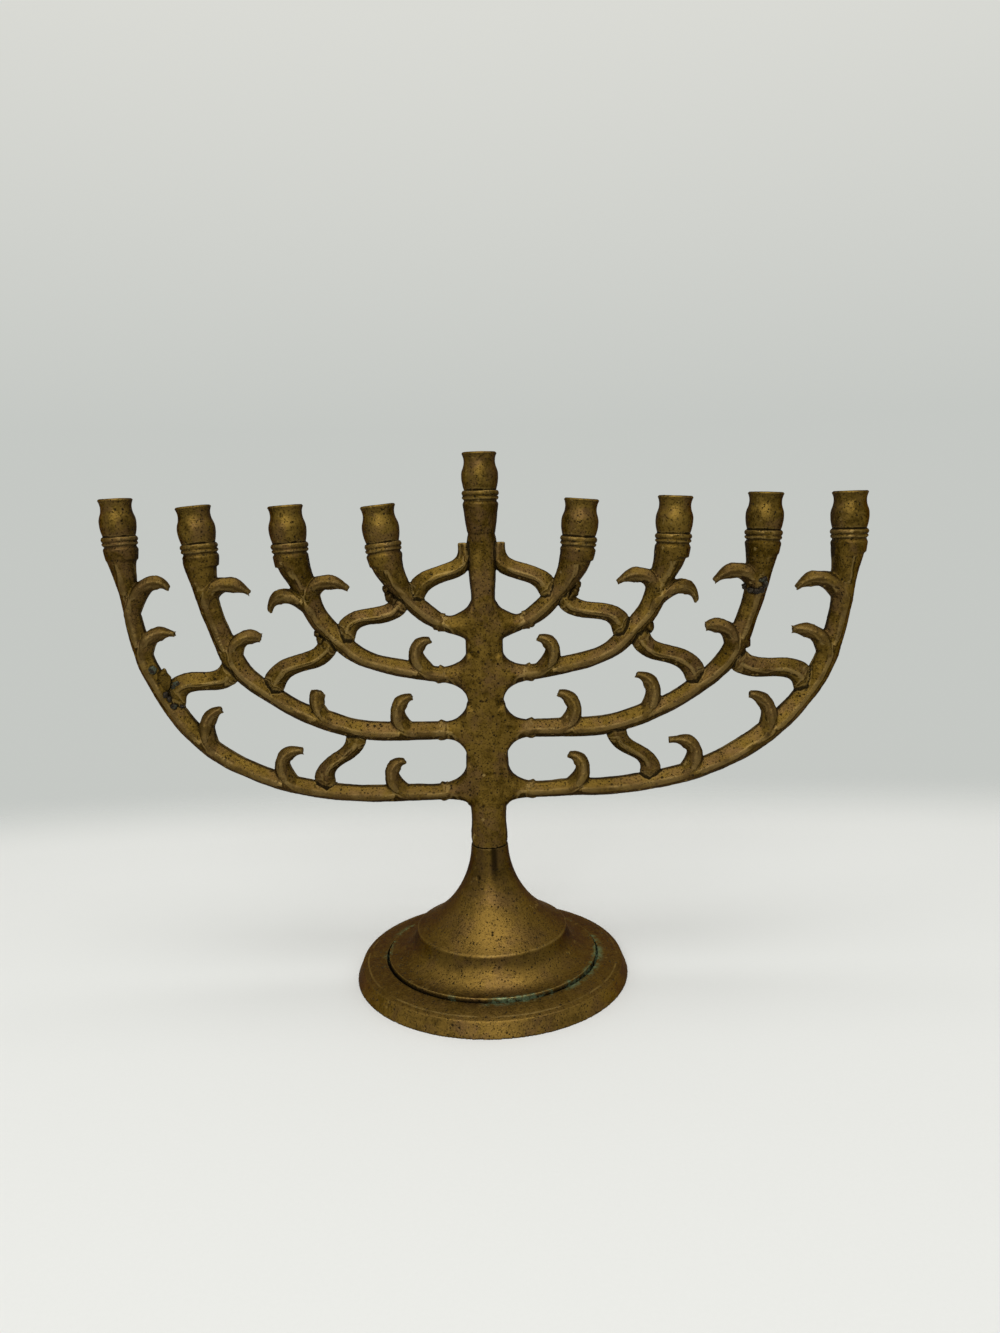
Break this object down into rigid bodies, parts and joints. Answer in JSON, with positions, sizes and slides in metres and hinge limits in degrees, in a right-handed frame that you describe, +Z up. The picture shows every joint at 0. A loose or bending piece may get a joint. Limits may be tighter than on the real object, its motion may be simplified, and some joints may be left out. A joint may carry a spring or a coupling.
{
  "type": "hanukkah menorah",
  "caption": "Cast brass candle menorah with curved branches, scroll bars, turned cups and a bell-shaped turned foot.",
  "frame": {"origin": "centre of the foot's underside, on the surface that the menorah stands on", "axes": "+Z up along the stem, X along the row of branches with +X to the right as seen from the front, and the front looks along -Y"},
  "size_m": [0.2783, 0.1046, 0.1973],
  "materials": {
    "branch_brass": "aged cast brass, olive brown and satin",
    "cup_brass": "aged turned brass, satin",
    "foot_brass": "aged turned brass, golden brown, with verdigris by the groove",
    "screw_steel": "dull zinc-plated steel",
    "washer_steel": "dull zinc-plated steel"
  },
  "bodies": {
    "foot": {"foot_ring": "foot_brass", "foot_dome": "foot_brass"},
    "branches": {"stem": "branch_brass", "cup_middle": "cup_brass", "arm_right_outer": "branch_brass", "cup_right_outer": "cup_brass", "arm_right_second": "branch_brass", "cup_right_second": "cup_brass", "arm_right_third": "branch_brass", "cup_right_third": "cup_brass", "arm_right_inner": "branch_brass", "cup_right_inner": "cup_brass", "scroll_right_upper": "branch_brass", "scroll_right_middle": "branch_brass", "scroll_right_side": "branch_brass", "scroll_right_low": "branch_brass", "scroll_right_top": "branch_brass", "arm_left_outer": "branch_brass", "cup_left_outer": "cup_brass", "arm_left_second": "branch_brass", "cup_left_second": "cup_brass", "arm_left_third": "branch_brass", "cup_left_third": "cup_brass", "arm_left_inner": "branch_brass", "cup_left_inner": "cup_brass", "scroll_left_upper": "branch_brass", "scroll_left_middle": "branch_brass", "scroll_left_side": "branch_brass", "scroll_left_low": "branch_brass", "scroll_left_top": "branch_brass"},
    "washer": {"clamp_washer": "washer_steel"},
    "screw": {"clamp_screw": "screw_steel"}
  },
  "joints": [
    {"name": "branches_turn", "type": "hinge", "parent": "foot", "child": "branches", "pos_m": [0, 0, 0.0508], "axis": [0, 0, 1], "continuous": true},
    {"name": "washer_drop", "type": "slide", "parent": "branches", "child": "washer", "axis": [0, 0, -1], "range_m": [0, 0.008]},
    {"name": "screw_turn", "type": "hinge", "parent": "washer", "child": "screw", "pos_m": [0, 0, 0.027], "axis": [0, 0, -1], "range_deg": [0, 3600]}
  ],
  "couplings": [
    {"joint": "screw_turn", "follows": "washer_drop", "rad_per_m": 7854}
  ]
}
